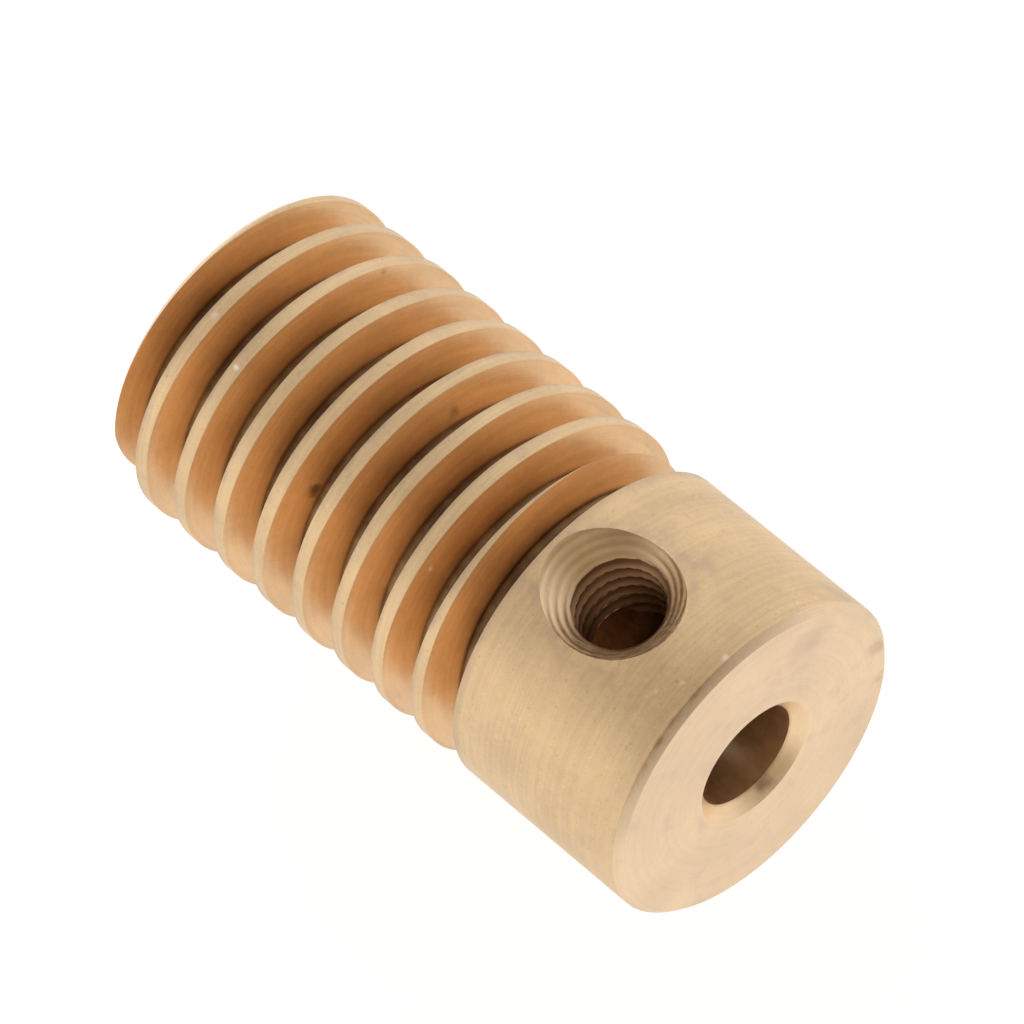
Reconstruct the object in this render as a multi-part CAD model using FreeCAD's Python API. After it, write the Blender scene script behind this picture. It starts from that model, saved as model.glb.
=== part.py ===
"""Left-hand brass worm, module 0.5, single start, with a hub that is locked to its shaft by a set screw.

Frame: +X runs along the worm axis, out of the hub's end face. +Z runs along the tapped cross hole.
The origin is the middle of the worm, so the worm fills X = -10 to 10 with its hub on the +X side.
All sizes are in millimetres.
"""
import FreeCAD, Part
import math
import os

# Worm gearing
MODULE = 0.5
PRESSURE_ANGLE = math.radians(20)
PITCH_DIAMETER = 9.0
AXIAL_PITCH = math.pi * MODULE
OUTSIDE_RADIUS = PITCH_DIAMETER / 2 + MODULE
ROOT_RADIUS = PITCH_DIAMETER / 2 - 1.2 * MODULE

# Blank
LENGTH = 20.0
HUB_FACE_X = LENGTH / 2
HUB_LENGTH = 6.3
EDGE_BREAK = 0.2
BORE_DIAMETER = 3.2
BORE_CHAMFER = 0.35

# Cross hole, tapped M3 x 0.5 through both walls of the hub
HOLE_X = HUB_FACE_X - 4.0
TAP_DRILL_DIAMETER = 2.5
COUNTERSINK_DIAMETER = 4.25

# Set screw, M3 x 3 with a hexagon socket and a cup point
SCREW_LENGTH = 3.0
SCREW_CLEARANCE = 0.02
SCREW_STAND_OFF = 0.1
SOCKET_ACROSS_FLATS = 1.5
SOCKET_DEPTH = 1.2
CUP_DIAMETER = 1.2
CUP_DEPTH = 0.3
SCREW_CHAMFER = 0.25

# The thread groove leaves its run-out ring at this angle, turned about +X from +Z.
# The tool dwells in the ring, which so comes out a little deeper and wider than the thread space.
THREAD_START = math.radians(65)
RUN_OUT_RELIEF = 0.03

# Cutters pass the surface that they cut by this much
OVERCUT = 0.5

AXIS_X = FreeCAD.Vector(1, 0, 0)
ORIGIN = FreeCAD.Vector(0, 0, 0)


def ring(points):
    """Solid turned about the X axis from (x, radius) points."""
    corners = [FreeCAD.Vector(x, 0, r) for x, r in points]
    wire = Part.makePolygon(corners + corners[:1])
    return Part.Face(wire).revolve(ORIGIN, AXIS_X, 360)


def groove_half_width(radius):
    """Half of the thread space at a radius: a quarter of the pitch on the pitch cylinder."""
    return AXIAL_PITCH / 4 + (radius - PITCH_DIAMETER / 2) * math.tan(PRESSURE_ANGLE)


def groove_profile(centre_x, relief=0.0):
    """Corners of the thread space as (x, radius), made deeper and wider all round by relief."""
    bottom = ROOT_RADIUS - relief
    top = OUTSIDE_RADIUS + OVERCUT
    return [
        (centre_x - groove_half_width(bottom) - relief, bottom),
        (centre_x + groove_half_width(bottom) + relief, bottom),
        (centre_x + groove_half_width(top) + relief, top),
        (centre_x - groove_half_width(top) - relief, top),
    ]


def blank():
    """The turned bar with its broken edges and its chamfered bore."""
    r = OUTSIDE_RADIUS
    end = HUB_FACE_X
    bore = BORE_DIAMETER / 2
    mouth = bore + BORE_CHAMFER
    return ring([
        (end, mouth),
        (end, r - EDGE_BREAK),
        (end - EDGE_BREAK, r),
        (EDGE_BREAK - end, r),
        (-end, r - EDGE_BREAK),
        (-end, mouth),
        (BORE_CHAMFER - end, bore),
        (end - BORE_CHAMFER, bore),
    ])


def run_out_x():
    """Middle of the run-out ring, whose near flank ends the hub."""
    return HUB_FACE_X - HUB_LENGTH - groove_half_width(OUTSIDE_RADIUS) - RUN_OUT_RELIEF


def run_out_ring():
    """The ring that the thread tool cuts beside the hub while the axial feed stands still."""
    return ring(groove_profile(run_out_x(), RUN_OUT_RELIEF))


def thread_groove():
    """The left-hand helical thread space, from the run-out ring out past the plain end."""
    travel = run_out_x() + LENGTH / 2 + AXIAL_PITCH
    helix = Part.makeLongHelix(AXIAL_PITCH, travel, PITCH_DIAMETER / 2, 0, True)
    corners = [FreeCAD.Vector(r, 0, -x) for x, r in groove_profile(0)]
    profile = Part.makePolygon(corners + corners[:1])
    groove = helix.makePipeShell([profile], True, True)
    # The helix is made along +Z from +X, and is laid along -X with its start at THREAD_START.
    groove.rotate(ORIGIN, FreeCAD.Vector(0, 1, 0), -90)
    groove.rotate(ORIGIN, AXIS_X, math.degrees(THREAD_START))
    groove.translate(FreeCAD.Vector(run_out_x(), 0, 0))
    return groove


def cross_hole():
    """Tap drill through both walls of the hub, with a 90 degree countersink at each end."""
    drill = TAP_DRILL_DIAMETER / 2
    rim = COUNTERSINK_DIAMETER / 2
    outer = OUTSIDE_RADIUS
    base = FreeCAD.Vector(HOLE_X, 0, -outer - OVERCUT)
    hole = Part.makeCylinder(drill, 2 * (outer + OVERCUT), base)
    for side in (1, -1):
        sink = Part.makeCone(
            drill, rim + OVERCUT, rim + OVERCUT - drill,
            FreeCAD.Vector(HOLE_X, 0, side * (outer - rim + drill)),
            FreeCAD.Vector(0, 0, side),
        )
        hole = hole.fuse(sink)
    return hole


def worm():
    body = blank()
    for cutter in (run_out_ring(), thread_groove(), cross_hole()):
        body = body.cut(cutter)
    return body.Solids[0]


def set_screw():
    """M3 x 3 screw in the lower wall, with its cup point just clear of the bore."""
    radius = TAP_DRILL_DIAMETER / 2 - SCREW_CLEARANCE
    tip_z = -(BORE_DIAMETER / 2 + SCREW_STAND_OFF)
    down = FreeCAD.Vector(0, 0, -1)
    profile = [
        (0, CUP_DEPTH),
        (CUP_DIAMETER / 2, 0),
        (radius - SCREW_CHAMFER, 0),
        (radius, SCREW_CHAMFER),
        (radius, SCREW_LENGTH - SCREW_CHAMFER),
        (radius - SCREW_CHAMFER, SCREW_LENGTH),
        (0, SCREW_LENGTH),
    ]
    corners = [FreeCAD.Vector(r, 0, -depth) for r, depth in profile]
    body = Part.Face(Part.makePolygon(corners + corners[:1])).revolve(ORIGIN, down, 360)
    corner_radius = SOCKET_ACROSS_FLATS / 2 / math.cos(math.radians(30))
    hexagon = Part.makePolygon([
        FreeCAD.Vector(
            corner_radius * math.cos(math.radians(60 * i)),
            corner_radius * math.sin(math.radians(60 * i)),
            SOCKET_DEPTH - SCREW_LENGTH,
        )
        for i in range(7)
    ])
    socket = Part.Face(hexagon).extrude(down * (SOCKET_DEPTH + OVERCUT))
    body = body.cut(socket)
    body.translate(FreeCAD.Vector(HOLE_X, 0, tip_z))
    return body


os.makedirs("parts", exist_ok=True)
for name, shape in (("worm", worm()), ("set_screw", set_screw())):
    shape.exportStep("parts/" + name + ".step")
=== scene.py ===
"""Looks of the brass worm: machined meshes, brass and steel materials, studio and camera.

The frame is the CAD's, with its origin in the middle of the worm: +X along the worm axis, out of the hub's
end face, and +Z out of the open tapped hole.
Meshes are worked out in millimetres and scaled to metres once they are finished.
An angle round the worm is measured about +X from +Z, so that +Z is 0 and -Y is a quarter turn.
"""
import math
import bpy
from mathutils import Matrix, Vector


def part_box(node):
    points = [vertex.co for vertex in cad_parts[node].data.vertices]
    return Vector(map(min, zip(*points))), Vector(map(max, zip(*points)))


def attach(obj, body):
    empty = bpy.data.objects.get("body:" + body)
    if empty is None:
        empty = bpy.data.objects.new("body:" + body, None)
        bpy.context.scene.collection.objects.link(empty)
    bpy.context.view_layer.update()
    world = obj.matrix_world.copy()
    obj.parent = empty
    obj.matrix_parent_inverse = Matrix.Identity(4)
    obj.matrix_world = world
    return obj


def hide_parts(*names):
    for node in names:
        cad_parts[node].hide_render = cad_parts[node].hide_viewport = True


MM = 0.001
TURN = 2 * math.pi

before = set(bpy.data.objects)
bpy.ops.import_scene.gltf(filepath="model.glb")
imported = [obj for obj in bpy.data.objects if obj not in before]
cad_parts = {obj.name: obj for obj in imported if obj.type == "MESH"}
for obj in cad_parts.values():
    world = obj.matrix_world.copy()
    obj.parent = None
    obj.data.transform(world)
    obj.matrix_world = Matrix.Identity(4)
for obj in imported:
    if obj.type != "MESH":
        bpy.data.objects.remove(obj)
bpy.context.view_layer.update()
worm_low, worm_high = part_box("worm")
screw_low, screw_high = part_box("set_screw")

# Worm, in millimetres
HUB_FACE = worm_high.x / MM
PLAIN_END = worm_low.x / MM
OUTSIDE = worm_high.z / MM
MODULE = 0.5
PITCH = math.pi * MODULE
PITCH_RADIUS = OUTSIDE - MODULE
ROOT = PITCH_RADIUS - 1.2 * MODULE
FLANK_SLOPE = math.tan(math.radians(20))
HUB_LENGTH = 6.3
EDGE_BREAK = 0.2
BORE = 1.6
BORE_CHAMFER = 0.35
THREAD_START = math.radians(65)
RUN_OUT_RELIEF = 0.03
ROOT_FILLET = 0.12
CREST_BREAK = 0.012
CREST_FLARE = 0.9
CREST_WAVER = 0.03

# Cross hole, M3 x 0.5
HOLE_X = (screw_low.x + screw_high.x) / 2 / MM
TAP_DRILL = 1.25
M3_MAJOR = 1.5
M3_PITCH = 0.5
COUNTERSINK = 2.125
SINK_BOTTOM = OUTSIDE - (COUNTERSINK - TAP_DRILL)
CONE_RING_PITCH = 0.19
CONE_RING_HEIGHT = 0.005

# Set screw. SCREW_TIP is how far its point lies under the worm axis.
SCREW_TIP = -screw_high.z / MM
SCREW_LENGTH = (screw_high.z - screw_low.z) / MM
SCREW_RADIUS = (screw_high.x - screw_low.x) / 2 / MM
SCREW_THREAD_DEPTH = 0.22
SCREW_CHAMFER = 0.25
SOCKET_FLATS = 1.5
SOCKET_DEPTH = 1.2
CUP_RADIUS = 0.6
CUP_DEPTH = 0.3
SCREW_TRAVEL = 3.6

# Cutters pass the surface that they cut by this much
OVERCUT = 0.5

# Fineness of the meshes. HOLE_ROW is the height of a row of faces in the tapped holes.
ROUND_SEGMENTS = 256
FILLET_STEPS = 4
HOLE_ROW = 0.02
HOLE_SEGMENTS = 128
SMOOTH_BELOW = math.radians(28)


# ---------------------------------------------------------------- outlines and meshes

def rounded(corners):
    """Outline through (x, r, fillet radius) corners, each turned by an arc of its own radius."""
    points = []
    for i, (x, r, fillet) in enumerate(corners):
        here = Vector((x, r))
        if fillet == 0:
            points.append((x, r))
            continue
        before = Vector(corners[i - 1][:2]) - here
        after = Vector(corners[(i + 1) % len(corners)][:2]) - here
        before.normalize()
        after.normalize()
        half = before.angle(after) / 2
        reach = fillet / math.tan(half)
        centre = here + (before + after).normalized() * fillet / math.sin(half)
        first = here + before * reach - centre
        last = here + after * reach - centre
        sweep = first.angle(last)
        for k in range(FILLET_STEPS + 1):
            t = k / FILLET_STEPS
            mix = (first * math.sin((1 - t) * sweep) + last * math.sin(t * sweep)) / math.sin(sweep)
            points.append(tuple(centre + mix))
    return points


def make_mesh(name, vertices, faces, material_of_face=None):
    """Object in the scene, with a material slot for each face where these are given."""
    mesh = bpy.data.meshes.new(name)
    mesh.from_pydata(vertices, [], faces)
    if material_of_face:
        for polygon, index in zip(mesh.polygons, material_of_face):
            polygon.material_index = index
    mesh.validate()
    obj = bpy.data.objects.new(name, mesh)
    bpy.context.scene.collection.objects.link(obj)
    return obj


def around(x, r, angle):
    """Point at a distance along the worm axis, a radius and an angle round it."""
    return (x, -r * math.sin(angle), r * math.cos(angle))


def facing_out(obj):
    """Turns every face outwards."""
    bpy.context.view_layer.objects.active = obj
    obj.select_set(True)
    bpy.ops.object.mode_set(mode="EDIT")
    bpy.ops.mesh.select_all(action="SELECT")
    bpy.ops.mesh.normals_make_consistent(inside=False)
    bpy.ops.object.mode_set(mode="OBJECT")
    obj.select_set(False)
    return obj


def turned_ring(name, outline, material_at=None):
    """Closed ring turned round the worm axis from a closed outline of (x, r) points."""
    count = len(outline)
    vertices = []
    for s in range(ROUND_SEGMENTS):
        vertices += [around(x, r, TURN * s / ROUND_SEGMENTS) for x, r in outline]
    faces = []
    materials = []
    for s in range(ROUND_SEGMENTS):
        here = s * count
        there = (s + 1) % ROUND_SEGMENTS * count
        for i in range(count):
            j = (i + 1) % count
            faces.append((here + i, here + j, there + j, there + i))
            if material_at:
                (x0, r0), (x1, r1) = outline[i], outline[j]
                materials.append(material_at((x0 + x1) / 2, (r0 + r1) / 2))
    return facing_out(make_mesh(name, vertices, faces, materials))


def crest_waver(angle):
    """How far the crest's edges wander along the worm axis at an angle along the thread."""
    return CREST_WAVER * math.sin(3.1 * angle + 2 * math.sin(1.7 * angle))


def helical_bar(name, outline, start_x, start_angle, turns):
    """Left-hand helical bar: the outline's x is measured from the helix, which runs along -X."""
    count = len(outline)
    stations = int(turns * ROUND_SEGMENTS) + 1
    vertices = []
    for s in range(stations):
        angle = TURN * s / ROUND_SEGMENTS
        centre = start_x - PITCH * angle / TURN
        waver = crest_waver(angle)
        for x, r in outline:
            edge = waver * math.copysign(max(0.0, r - PITCH_RADIUS), x)
            vertices.append(around(centre + x + edge, r, start_angle + angle))
    faces = [tuple(range(count)), tuple(range((stations - 1) * count, stations * count))]
    for s in range(stations - 1):
        here = s * count
        there = here + count
        for i in range(count):
            j = (i + 1) % count
            faces.append((here + i, here + j, there + j, there + i))
    return facing_out(make_mesh(name, vertices, faces))


def post(name, side, bottom, top, radius_at, rows, segments):
    """Solid round the cross hole's axis, with radius_at(height, angle).

    Heights are measured from the worm axis, along +Z where side is 1 and along -Z where it is -1.
    """
    vertices = []
    for j in range(rows + 1):
        height = bottom + (top - bottom) * j / rows
        for s in range(segments):
            angle = TURN * s / segments
            r = radius_at(height, angle)
            vertices.append((HOLE_X + r * math.cos(angle), side * r * math.sin(angle), side * height))
    faces = [tuple(range(segments)), tuple(range(rows * segments, (rows + 1) * segments))]
    for j in range(rows):
        for s in range(segments):
            t = (s + 1) % segments
            faces.append((j * segments + s, j * segments + t, (j + 1) * segments + t, (j + 1) * segments + s))
    return facing_out(make_mesh(name, vertices, faces))


def cut(body, cutter, material_index):
    """Takes the cutter out of the body. The new faces get the given material slot."""
    for polygon in cutter.data.polygons:
        polygon.material_index = material_index
    modifier = body.modifiers.new("cut", "BOOLEAN")
    modifier.operation = "DIFFERENCE"
    modifier.solver = "MANIFOLD"
    modifier.material_mode = "INDEX"
    modifier.object = cutter
    bpy.context.view_layer.objects.active = body
    bpy.ops.object.modifier_apply(modifier=modifier.name)
    bpy.data.objects.remove(cutter)


def finished(obj):
    """Scales a mesh from millimetres to metres and smooths all but its real edges."""
    obj.data.transform(Matrix.Scale(MM, 4))
    obj.data.shade_smooth()
    obj.data.set_sharp_from_angle(angle=SMOOTH_BELOW)
    return obj


# ---------------------------------------------------------------- worm

TURNED, FACED, THREADED, BORED, TAPPED = range(5)


def blank_outline():
    """The bar with its bore: broken outer edges and chamfered mouths, every corner a little rounded."""
    r = OUTSIDE
    mouth = BORE + BORE_CHAMFER
    return rounded([
        (HUB_FACE, mouth, 0.02),
        (HUB_FACE, r - EDGE_BREAK, 0.05),
        (HUB_FACE - EDGE_BREAK, r, 0.08),
        (PLAIN_END + EDGE_BREAK, r, 0.08),
        (PLAIN_END, r - EDGE_BREAK, 0.05),
        (PLAIN_END, mouth, 0.02),
        (PLAIN_END + BORE_CHAMFER, BORE, 0.03),
        (HUB_FACE - BORE_CHAMFER, BORE, 0.03),
    ])


def blank_material(x, r):
    """Slot of a face of the blank, from the middle of its piece of the outline."""
    if r < BORE + BORE_CHAMFER:
        return BORED
    if PLAIN_END + EDGE_BREAK < x < HUB_FACE - EDGE_BREAK:
        return TURNED
    return FACED


def groove_half_width(radius):
    """Half of the thread space at a radius: a quarter of the pitch on the pitch cylinder."""
    return PITCH / 4 + (radius - PITCH_RADIUS) * FLANK_SLOPE


def groove_outline(centre_x, relief=0.0):
    """Thread space with filleted root corners, and a very small flare that breaks the crest's edges.

    It is made deeper and wider all round by relief.
    """
    bottom = ROOT - relief
    flare = OUTSIDE - CREST_BREAK
    top = OUTSIDE + OVERCUT
    low = groove_half_width(bottom) + relief
    crest = groove_half_width(flare) + relief
    wide = crest + (top - flare) * CREST_FLARE
    return rounded([
        (centre_x - low, bottom, ROOT_FILLET),
        (centre_x + low, bottom, ROOT_FILLET),
        (centre_x + crest, flare, 0.02),
        (centre_x + wide, top, 0),
        (centre_x - wide, top, 0),
        (centre_x - crest, flare, 0.02),
    ])


def run_out_x():
    """Middle of the run-out ring, whose near flank ends the hub."""
    return HUB_FACE - HUB_LENGTH - groove_half_width(OUTSIDE) - RUN_OUT_RELIEF


def fine_thread(turns, slope, crest):
    """Share of a fine thread's depth after a number of turns: 0 on its flat crest and 1 in its flat root."""
    phase = turns % 1.0
    return min(1.0, max(0.0, (0.5 - abs(phase - 0.5)) * 2 * slope - crest))


def tapped_radius(height, angle):
    """M3 thread of the cross hole, opening into the countersink with its turning rings."""
    depth = fine_thread(height / M3_PITCH + angle / TURN, 1.15, 0.1)
    thread = TAP_DRILL + (M3_MAJOR - TAP_DRILL) * depth
    rings = CONE_RING_HEIGHT * math.sin(height * TURN / CONE_RING_PITCH)
    sink = COUNTERSINK - (OUTSIDE - height) + rings
    return max(thread, sink)


def cross_hole(side):
    """Cutter for the tapped hole in one wall of the hub, from inside the bore outwards."""
    bottom = 0.2
    top = OUTSIDE + OVERCUT
    return post("tap", side, bottom, top, tapped_radius, int(top / HOLE_ROW), HOLE_SEGMENTS)


def make_worm():
    """The blank with its materials, then the run-out ring, the thread and the two tapped holes cut out."""
    worm = turned_ring("worm_body", blank_outline(), blank_material)
    for material in worm_materials():
        worm.data.materials.append(material)
    turns = (run_out_x() - PLAIN_END) / PITCH + 1
    cut(worm, turned_ring("run_out", groove_outline(run_out_x(), RUN_OUT_RELIEF)), THREADED)
    cut(worm, helical_bar("thread", groove_outline(0), run_out_x(), THREAD_START, turns), THREADED)
    for side in (1, -1):
        cut(worm, cross_hole(side), TAPPED)
    return finished(worm)


# ---------------------------------------------------------------- set screw

def screw_radius(height, angle):
    """Radius of the set screw: a fine thread with chamfered ends."""
    from_tip = height - SCREW_TIP
    depth = fine_thread(from_tip / M3_PITCH - angle / TURN, 1.3, 0.15)
    thread = SCREW_RADIUS - SCREW_THREAD_DEPTH * depth
    ends = SCREW_RADIUS - SCREW_CHAMFER + min(from_tip, SCREW_LENGTH - from_tip)
    return min(thread, ends)


def socket_radius(height, angle):
    """Corner radius of the hexagon socket, the same all the way down."""
    return SOCKET_FLATS / 2 / math.cos(math.radians(30))


def cup_radius(height, angle):
    """Radius of the hollow in the cup point, which narrows to nearly nothing at its full depth."""
    from_tip = height - SCREW_TIP
    return max(0.02, CUP_RADIUS * (1 - from_tip / CUP_DEPTH))


def make_set_screw():
    """The screw in the lower wall, with its socket outwards and its cup point towards the bore."""
    tip = SCREW_TIP
    end = tip + SCREW_LENGTH
    screw = post("set_screw_body", -1, tip, end, screw_radius, 150, 96)
    screw.data.materials.append(black_steel())
    cut(screw, post("socket", -1, end - SOCKET_DEPTH, end + OVERCUT, socket_radius, 1, 6), 0)
    cut(screw, post("cup", -1, tip - OVERCUT, tip + CUP_DEPTH, cup_radius, 8, 48), 0)
    return finished(screw)


# ---------------------------------------------------------------- materials

class Nodes:
    """Short calls for building a node tree."""

    def __init__(self, name):
        self.material = bpy.data.materials.new(name)
        self.material.use_nodes = True
        self.tree = self.material.node_tree
        self.shader = self.tree.nodes["Principled BSDF"]

    def add(self, kind):
        """New node of a kind."""
        return self.tree.nodes.new("ShaderNode" + kind)

    def link(self, value, socket):
        """Feeds a socket from another socket, or sets it to a number or a colour."""
        if isinstance(value, (int, float, tuple)):
            socket.default_value = value
        else:
            self.tree.links.new(value, socket)

    def math(self, operation, a, b=0.0):
        node = self.add("Math")
        node.operation = operation
        self.link(a, node.inputs[0])
        self.link(b, node.inputs[1])
        return node.outputs[0]

    def length(self, a, b):
        """Length of the vector with components a and b."""
        return self.math("SQRT", self.math("ADD", self.math("MULTIPLY", a, a), self.math("MULTIPLY", b, b)))

    def locate(self):
        """Makes the sockets for the place on the object, in millimetres and round the worm axis."""
        coordinates = self.add("TexCoord")
        scale = self.add("VectorMath")
        scale.operation = "SCALE"
        scale.inputs["Scale"].default_value = 1 / MM
        self.link(coordinates.outputs["Object"], scale.inputs[0])
        split = self.add("SeparateXYZ")
        self.link(scale.outputs[0], split.inputs[0])
        self.place = scale.outputs[0]
        self.x, self.y, self.z = split.outputs
        self.radius = self.length(self.y, self.z)
        self.angle = self.math("ARCTAN2", self.math("MULTIPLY", self.y, -1.0), self.z)

    def vector(self, x, y, z):
        node = self.add("CombineXYZ")
        for value, socket in zip((x, y, z), node.inputs):
            self.link(value, socket)
        return node.outputs[0]

    def noise(self, vector, scale, detail, roughness=0.55):
        node = self.add("TexNoise")
        self.link(vector, node.inputs["Vector"])
        node.inputs["Scale"].default_value = scale
        node.inputs["Detail"].default_value = detail
        node.inputs["Roughness"].default_value = roughness
        return node.outputs["Fac"]

    def remap(self, value, low, high, to_low=0.0, to_high=1.0):
        """Soft step from to_low to to_high, while the value goes from low to high."""
        node = self.add("MapRange")
        node.interpolation_type = "SMOOTHSTEP"
        for socket, number in zip(("From Min", "From Max", "To Min", "To Max"), (low, high, to_low, to_high)):
            node.inputs[socket].default_value = number
        self.link(value, node.inputs["Value"])
        return node.outputs["Result"]

    def shade(self, colour, amount):
        """Multiplies a colour by an amount."""
        node = self.add("VectorMath")
        node.operation = "SCALE"
        self.link(amount, node.inputs["Scale"])
        self.link(colour, node.inputs[0])
        return node.outputs[0]

    def mix(self, amount, a, b):
        node = self.add("Mix")
        node.data_type = "RGBA"
        self.link(amount, node.inputs[0])
        self.link(a, node.inputs[6])
        self.link(b, node.inputs[7])
        return node.outputs[2]

    def stain(self, colour, tint, mask, strength):
        """Mixes in a tint where the mask is 1."""
        return self.mix(self.math("MULTIPLY", mask, strength), colour, tint)

    def spot(self, centre, reach):
        """1 at a point on the worm, falling softly to 0 over a ragged reach."""
        gap = self.add("VectorMath")
        gap.operation = "DISTANCE"
        self.link(self.place, gap.inputs[0])
        gap.inputs[1].default_value = centre
        ragged = self.noise(self.place, 0.9 / reach, 1.5, 0.5)
        edge = self.math("MULTIPLY", self.math("SUBTRACT", ragged, 0.5), 1.6 * reach)
        return self.remap(self.math("ADD", gap.outputs["Value"], edge), 0.0, reach, 1.0, 0.0)

    def marks(self, colour, listed):
        """Stains the colour at each (x, angle in degrees, radius, reach, tint, strength)."""
        for x, angle, radius, reach, tint, strength in listed:
            at = around(x, radius, math.radians(angle))
            colour = self.stain(colour, tint, self.spot(at, reach), strength)
        return colour

    def bump(self, height, strength, distance, normal=None):
        """Normal roughened by a height pattern, on top of another normal where one is given."""
        node = self.add("Bump")
        node.inputs["Strength"].default_value = strength
        node.inputs["Distance"].default_value = distance
        self.link(height, node.inputs["Height"])
        if normal is not None:
            self.link(normal, node.inputs["Normal"])
        return node.outputs["Normal"]


# Patterns left by the cutter, in lines to a millimetre and in metres of height
LINES_PER_MM = 9.0
LINE_STRETCH = 0.16
LINE_HEIGHT = 0.01 * MM
GRAIN_HEIGHT = 0.006 * MM


def brass(name, tone, across, roughness, texture, line_depth, wear_and_shade):
    """Machined brass: its tone, the cutter's lines, a fine grain, and the wear and painted shade that the
    last argument, called with (n, colour), adds.

    across is "x", "r" or "z": the way that the cutter's lines are spaced.
    texture is how much each pattern lightens and darkens the tone.
    """
    n = Nodes(name)
    n.locate()
    step = n.math("MULTIPLY", {"x": n.x, "r": n.radius, "z": n.z}[across], LINES_PER_MM)
    along_y = n.math("MULTIPLY", n.y, LINE_STRETCH)
    along_z = n.math("MULTIPLY", n.z, LINE_STRETCH)
    lines = n.noise(n.vector(step, along_y, along_z), 1.0, 3.0, 0.65)
    cloud = n.noise(n.place, 0.55, 3.0, 0.5)
    mottle = n.noise(n.place, 5.0, 5.0, 0.7)
    grain = n.noise(n.place, 26.0, 3.0, 0.65)
    colour = n.shade(tone, n.remap(cloud, 0.3, 0.7, 0.95, 1.05))
    for pattern in (mottle, grain, lines):
        colour = n.shade(colour, n.remap(pattern, 0.28, 0.72, 1 - texture, 1 + texture))
    n.link(wear_and_shade(n, colour), n.shader.inputs["Base Color"])
    n.shader.inputs["Metallic"].default_value = 1.0
    n.link(n.remap(mottle, 0.3, 0.7, roughness - 0.04, roughness + 0.06), n.shader.inputs["Roughness"])
    normal = n.bump(lines, line_depth, LINE_HEIGHT)
    normal = n.bump(grain, 0.35, GRAIN_HEIGHT, normal)
    n.link(normal, n.shader.inputs["Normal"])
    return n.material


# Colours of the dirt and wear on the brass. The grey, brown and dark ones are also laid on as painted shade:
# in the thread's grooves and roots, in the holes and on the crests' far edges.
GREY_PATINA_AND_SHADE = (0.50, 0.37, 0.27, 1)
BROWN_PATINA_AND_SHADE = (0.27, 0.15, 0.08, 1)
RED_TARNISH = (0.42, 0.22, 0.11, 1)
# Painted shade only: the reddish brown laid over the tapped thread below the countersink.
RED_PAINTED_SHADE = (0.33, 0.15, 0.08, 1)
DARK_DIRT_AND_SHADE = (0.12, 0.065, 0.035, 1)
SCRAPED = (0.97, 0.86, 0.74, 1)


def thread_phase(n):
    """Place across the thread as a fraction of the pitch: 0 in mid groove and 0.5 in mid land."""
    turns = n.math("DIVIDE", n.math("SUBTRACT", run_out_x(), n.x), PITCH)
    turned = n.math("DIVIDE", n.math("SUBTRACT", n.angle, THREAD_START), TURN)
    return n.math("FRACT", n.math("SUBTRACT", turns, turned))


def from_cross_hole(n):
    """Distance from the cross hole's axis."""
    return n.length(n.math("SUBTRACT", n.x, HOLE_X), n.y)


def front_edge_dark_line(n, colour):
    """Dark line along part of the hub's front edge, under the open hole."""
    # Darker along the edge, in a reddish tint broken up by noise.
    from_edge = n.math("ABSOLUTE", n.math("SUBTRACT", n.x, HUB_FACE - EDGE_BREAK))
    line = n.remap(from_edge, 0.02, 0.11, 1.0, 0.0)
    side = n.math("MULTIPLY", n.remap(n.angle, -0.15, 0.15), n.remap(n.angle, 0.5, 0.9, 1.0, 0.0))
    broken = n.remap(n.noise(n.place, 2.0, 3.0, 0.5), 0.3, 0.65, 0.15, 0.7)
    return n.stain(colour, RED_TARNISH, n.math("MULTIPLY", line, side), broken)


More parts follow.
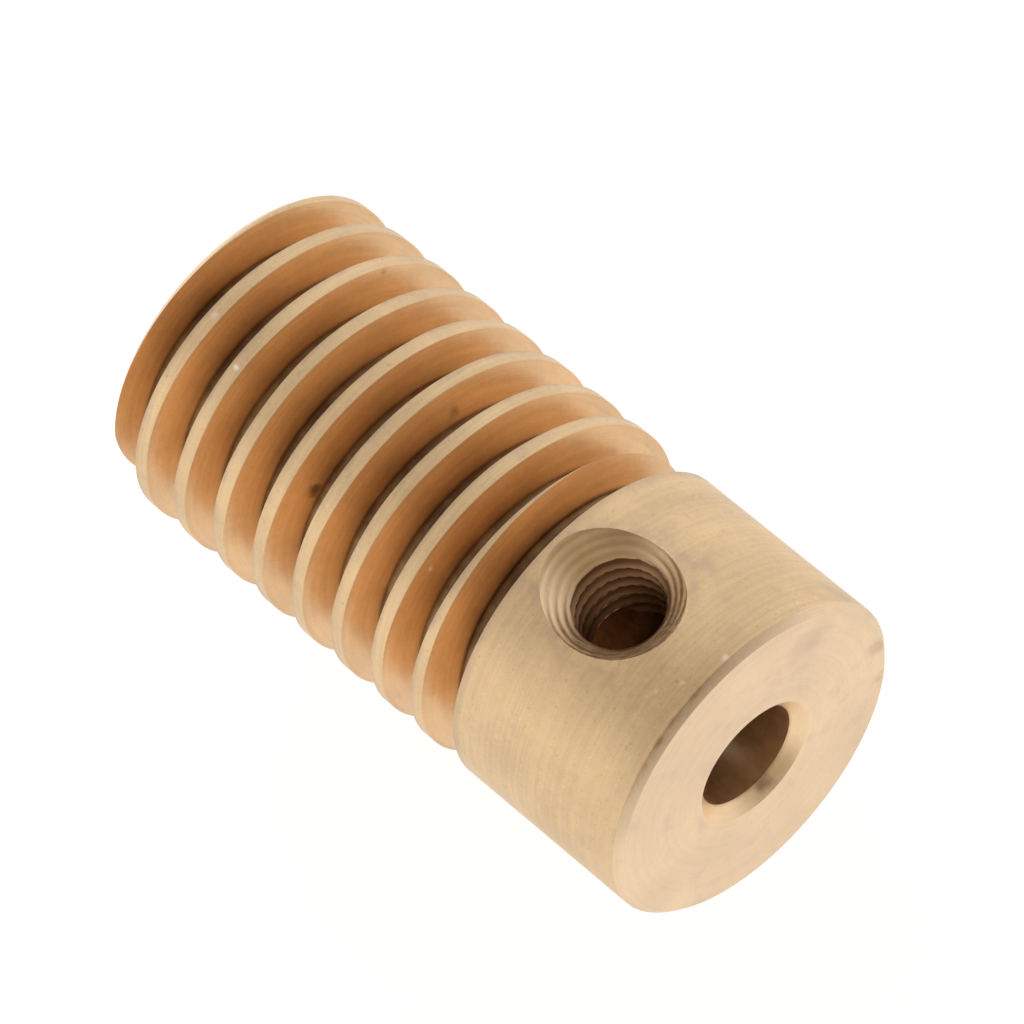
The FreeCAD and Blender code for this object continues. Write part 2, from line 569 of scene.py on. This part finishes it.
def turned_wear_and_shade(n, colour):
    """Patina along the edges of the hub, painted shade in grey on the far side of the crests, and a few
    handling marks.
    """
    hub_back = HUB_FACE - HUB_LENGTH
    cloud = n.noise(n.place, 1.3, 4.0, 0.6)
    fleck = n.noise(n.place, 7.0, 3.0, 0.6)
    on_hub = n.remap(n.x, hub_back - 0.4, hub_back - 0.2)
    back_edge = n.math("MULTIPLY", n.remap(n.x, hub_back, hub_back + 0.35, 1.0, 0.0), on_hub)
    colour = n.stain(colour, GREY_PATINA_AND_SHADE, back_edge, n.remap(cloud, 0.25, 0.75, 0.2, 0.8))
    rim = n.remap(from_cross_hole(n), COUNTERSINK, COUNTERSINK + 0.35, 1.0, 0.0)
    colour = n.stain(colour, GREY_PATINA_AND_SHADE, rim, n.remap(cloud, 0.35, 0.7, 0.0, 0.5))
    on_thread = n.math("SUBTRACT", 1.0, on_hub)
    # Painted shade: a grey strip along each crest's far edge, which faces away from the light, stronger where
    # the cloud is.
    far_edge_shade = n.math("MULTIPLY", n.remap(thread_phase(n), 0.52, 0.63), on_thread)
    colour = n.stain(colour, GREY_PATINA_AND_SHADE, far_edge_shade, n.remap(cloud, 0.3, 0.7, 0.1, 0.75))
    colour = n.stain(colour, GREY_PATINA_AND_SHADE, n.remap(cloud, 0.5, 0.8), 0.35)
    colour = n.stain(colour, BROWN_PATINA_AND_SHADE, n.remap(fleck, 0.6, 0.8), 0.4)
    colour = n.stain(colour, SCRAPED, n.remap(fleck, 0.36, 0.22), 0.4)
    colour = front_edge_dark_line(n, colour)
    return n.marks(colour, (
        (9.5, -62, OUTSIDE, 0.9, GREY_PATINA_AND_SHADE, 0.45),
        (9.7, -6, OUTSIDE, 0.16, SCRAPED, 0.5),
        (9.3, 8, OUTSIDE, 0.14, SCRAPED, 0.4),
        (8.9, 15, OUTSIDE, 0.12, SCRAPED, 0.35),
        (7.1, -27, OUTSIDE, 0.45, GREY_PATINA_AND_SHADE, 0.5),
        (-6.92, 20, OUTSIDE, 0.12, SCRAPED, 0.9),
        (-8.44, 12, OUTSIDE, 0.18, SCRAPED, 0.4),
        (0.35, 34, OUTSIDE, 0.14, SCRAPED, 0.6),
    ))


def faced_wear(n, colour):
    """Dull smudges near the rim of the end faces and small dark pores."""
    cloud = n.noise(n.place, 1.1, 4.0, 0.6)
    fleck = n.noise(n.place, 8.0, 3.0, 0.6)
    colour = n.stain(colour, GREY_PATINA_AND_SHADE, n.remap(cloud, 0.45, 0.8), 0.35)
    colour = n.stain(colour, BROWN_PATINA_AND_SHADE, n.remap(fleck, 0.66, 0.8), 0.3)
    colour = front_edge_dark_line(n, colour)
    return n.marks(colour, (
        (HUB_FACE, -112, 4.6, 0.4, BROWN_PATINA_AND_SHADE, 0.3),
        (HUB_FACE, -93, 4.6, 0.4, BROWN_PATINA_AND_SHADE, 0.25),
        (HUB_FACE, -45, 4.0, 1.0, GREY_PATINA_AND_SHADE, 0.35),
    ))


def thread_wear_and_shade(n, colour):
    """Streaks along the thread, painted shade deep in the groove and along its root, dark stains and a bright
    nick on the flanks.
    """
    cloud = n.noise(n.place, 0.9, 4.0, 0.6)
    across = n.math("MULTIPLY", n.radius, 6.0)
    along = n.math("MULTIPLY", n.angle, 2.4)
    streaks = n.noise(n.vector(across, along, n.math("MULTIPLY", n.x, 0.4)), 1.0, 4.0, 0.6)
    colour = n.shade(colour, n.remap(streaks, 0.3, 0.7, 0.95, 1.04))
    colour = n.stain(colour, GREY_PATINA_AND_SHADE, n.remap(cloud, 0.55, 0.75), 0.25)
    # Painted shade: the groove darkens a little towards its root.
    deep_groove_shade = n.remap(n.radius, ROOT + 0.1, ROOT + 0.8, 1.0, 0.0)
    colour = n.stain(colour, BROWN_PATINA_AND_SHADE, deep_groove_shade, n.remap(cloud, 0.3, 0.7, 0.0, 0.12))
    # Painted shade: a dark line along the root, where the flanks meet.
    root = n.remap(n.radius, ROOT + 0.03, ROOT + 0.17, 1.0, 0.0)
    colour = n.stain(colour, DARK_DIRT_AND_SHADE, root, n.remap(cloud, 0.3, 0.7, 0.7, 0.95))
    return n.marks(colour, (
        (-3.34, 39, 4.18, 0.3, DARK_DIRT_AND_SHADE, 0.85),
        (-1.60, -17, 4.35, 0.28, DARK_DIRT_AND_SHADE, 0.5),
        (-6.41, -40, 4.9, 0.18, BROWN_PATINA_AND_SHADE, 0.3),
        (1.21, 31, 4.67, 0.12, SCRAPED, 1.0),
    ))


def bored_wear_and_shade(n, colour):
    """Streaks along the bore, painted shade round the cross hole, and a dark patch on the hub's chamfer."""
    streaks = n.noise(n.vector(n.math("MULTIPLY", n.x, 0.4), n.y, n.z), 1.5, 4.0, 0.6)
    inside = n.remap(n.radius, BORE + 0.02, BORE + 0.06, 1.0, 0.0)
    colour = n.stain(colour, RED_TARNISH, inside, n.remap(streaks, 0.35, 0.65, 0.1, 0.4))
    # Painted shade: the bore is darkened where the cross hole meets it, most within 1.2 mm of the hole's axis
    # along the worm.
    from_hole = n.math("ABSOLUTE", n.math("SUBTRACT", n.x, HOLE_X))
    colour = n.stain(colour, DARK_DIRT_AND_SHADE, n.remap(from_hole, 1.2, 2.0, 1.0, 0.0), 0.65)
    return n.marks(colour, ((HUB_FACE - BORE_CHAMFER / 2, -177, BORE + 0.1, 0.4, BROWN_PATINA_AND_SHADE, 0.8),))


def tapped_wear_and_shade(n, colour):
    """Turning rings on the countersink with painted light and dark bands over them, painted shade on one side
    of the countersink, and painted shade in the M3 thread below it, darkest in its roots.
    """
    height = n.math("ABSOLUTE", n.z)
    # Painted light and shade: bands that lighten and darken with the rings, laid over the rings' real relief.
    wave = n.math("SINE", n.math("MULTIPLY", height, TURN / CONE_RING_PITCH))
    colour = n.shade(colour, n.remap(wave, -1.0, 1.0, 0.86, 1.06))
    below_sink = n.remap(height, SINK_BOTTOM - 0.075, SINK_BOTTOM + 0.125, 1.0, 0.0)
    # Painted shade: a brown darkening on the +Y side of the countersink.
    cone_side_shade = n.math("MULTIPLY", n.remap(n.y, 0.5, 1.8), n.math("SUBTRACT", 1.0, below_sink))
    colour = n.stain(colour, BROWN_PATINA_AND_SHADE, cone_side_shade, 0.6)
    # Painted shade: the whole thread below the countersink is darkened in reddish brown.
    colour = n.stain(colour, RED_PAINTED_SHADE, below_sink, 0.75)
    # Painted shade: darker still in the thread's roots.
    in_root = n.remap(from_cross_hole(n), TAP_DRILL + 0.02, TAP_DRILL + 0.16)
    return n.stain(colour, DARK_DIRT_AND_SHADE, n.math("MULTIPLY", in_root, below_sink), 0.85)


def black_steel():
    """Black oxide on the set screw."""
    n = Nodes("black_oxide_steel")
    n.locate()
    mottle = n.noise(n.place, 6.0, 4.0)
    n.link(n.mix(mottle, (0.02, 0.02, 0.023, 1), (0.06, 0.058, 0.06, 1)), n.shader.inputs["Base Color"])
    n.shader.inputs["Metallic"].default_value = 0.8
    n.link(n.remap(mottle, 0.3, 0.7, 0.32, 0.5), n.shader.inputs["Roughness"])
    n.link(n.bump(n.noise(n.place, 40.0, 2.0), 0.2, LINE_HEIGHT), n.shader.inputs["Normal"])
    return n.material


def worm_materials():
    """The worm's finishes, in the order of its material slots."""
    return [
        # Partly painted light: besides their finish, the tones differ because each was raised or lowered to
        # stand in for how brightly its surfaces are lit.
        brass("brass_turned", (0.72, 0.515, 0.295), "x", 0.42, 0.05, 0.22, turned_wear_and_shade),
        brass("brass_faced", (0.85, 0.65, 0.44), "r", 0.48, 0.03, 0.06, faced_wear),
        brass("brass_thread", (0.75, 0.485, 0.26), "r", 0.34, 0.045, 0.3, thread_wear_and_shade),
        brass("brass_bored", (0.87, 0.64, 0.40), "x", 0.42, 0.03, 0.1, bored_wear_and_shade),
        brass("brass_tapped", (0.93, 0.67, 0.41), "z", 0.34, 0.04, 0.2, tapped_wear_and_shade),
    ]


# ---------------------------------------------------------------- stage, light, camera

def make_floor():
    """Plain floor, low enough for the set screw to come all the way out above it."""
    half = 400.0
    corners = [(-half, -half, 0), (half, -half, 0), (half, half, 0), (-half, half, 0)]
    floor = make_mesh("floor", corners, [(0, 1, 2, 3)])
    floor.data.transform(Matrix.Scale(MM, 4))
    floor.location.z = screw_low.z - SCREW_TRAVEL * MM
    n = Nodes("pale_floor")
    n.shader.inputs["Base Color"].default_value = (0.3, 0.3, 0.3, 1)
    n.shader.inputs["Roughness"].default_value = 0.9
    n.shader.inputs["Emission Color"].default_value = (1, 1, 1, 1)
    n.shader.inputs["Emission Strength"].default_value = 0.86
    floor.data.materials.append(n.material)


def make_studio():
    """Surroundings that are white, but dim overhead towards the hub's end. The light leans a little to -Y."""
    toward_dim = Vector((0.55, -0.28, 0.79)).normalized()
    dim_from, dim_to = -0.1, 0.85
    white = (1.24, 1.24, 1.25, 1)
    dim = (0.35, 0.305, 0.24, 1)
    lean_with_y = -0.19
    world = bpy.data.worlds.new("studio")
    world.use_nodes = True
    tree = world.node_tree
    background = tree.nodes["Background"]
    coordinates = tree.nodes.new("ShaderNodeTexCoord")
    split = tree.nodes.new("ShaderNodeSeparateXYZ")
    tree.links.new(coordinates.outputs["Generated"], split.inputs[0])
    facing = tree.nodes.new("ShaderNodeVectorMath")
    facing.operation = "DOT_PRODUCT"
    facing.inputs[1].default_value = toward_dim
    tree.links.new(coordinates.outputs["Generated"], facing.inputs[0])
    fall = tree.nodes.new("ShaderNodeMapRange")
    fall.interpolation_type = "SMOOTHSTEP"
    fall.inputs["From Min"].default_value = dim_from
    fall.inputs["From Max"].default_value = dim_to
    tree.links.new(facing.outputs["Value"], fall.inputs["Value"])
    sky = tree.nodes.new("ShaderNodeMix")
    sky.data_type = "RGBA"
    sky.inputs[6].default_value = white
    sky.inputs[7].default_value = dim
    tree.links.new(fall.outputs["Result"], sky.inputs[0])
    tree.links.new(sky.outputs[2], background.inputs["Color"])
    lean = tree.nodes.new("ShaderNodeMath")
    lean.operation = "MULTIPLY_ADD"
    tree.links.new(split.outputs["Y"], lean.inputs[0])
    lean.inputs[1].default_value = lean_with_y
    lean.inputs[2].default_value = 1.0
    tree.links.new(lean.outputs[0], background.inputs["Strength"])
    bpy.context.scene.world = world
    bpy.context.scene.view_settings.view_transform = "Standard"


def make_camera():
    """Camera that looks at the worm's middle from above the hub's end, rolled about its own axis."""
    azimuth = math.radians(67.1)
    elevation = math.radians(59.52)
    roll = math.radians(24.63)
    distance = 221.8
    focal_length = 290.1
    aim = Vector((-0.25, 1.0, 0.37))
    back = Vector((
        math.sin(azimuth) * math.cos(elevation),
        -math.cos(azimuth) * math.cos(elevation),
        math.sin(elevation),
    ))
    data = bpy.data.cameras.new("camera")
    data.lens = focal_length
    data.clip_start = 0.01
    camera = bpy.data.objects.new("camera", data)
    bpy.context.scene.collection.objects.link(camera)
    camera.location = (aim + back * distance) * MM
    level = back.to_track_quat("Z", "Y").to_matrix()
    camera.rotation_euler = (level @ Matrix.Rotation(-roll, 3, "Z")).to_euler()
    bpy.context.scene.camera = camera


worm = make_worm()
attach(worm, "worm")
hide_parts("worm")

screw = make_set_screw()
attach(screw, "set_screw")
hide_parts("set_screw")

make_floor()
make_studio()
make_camera()
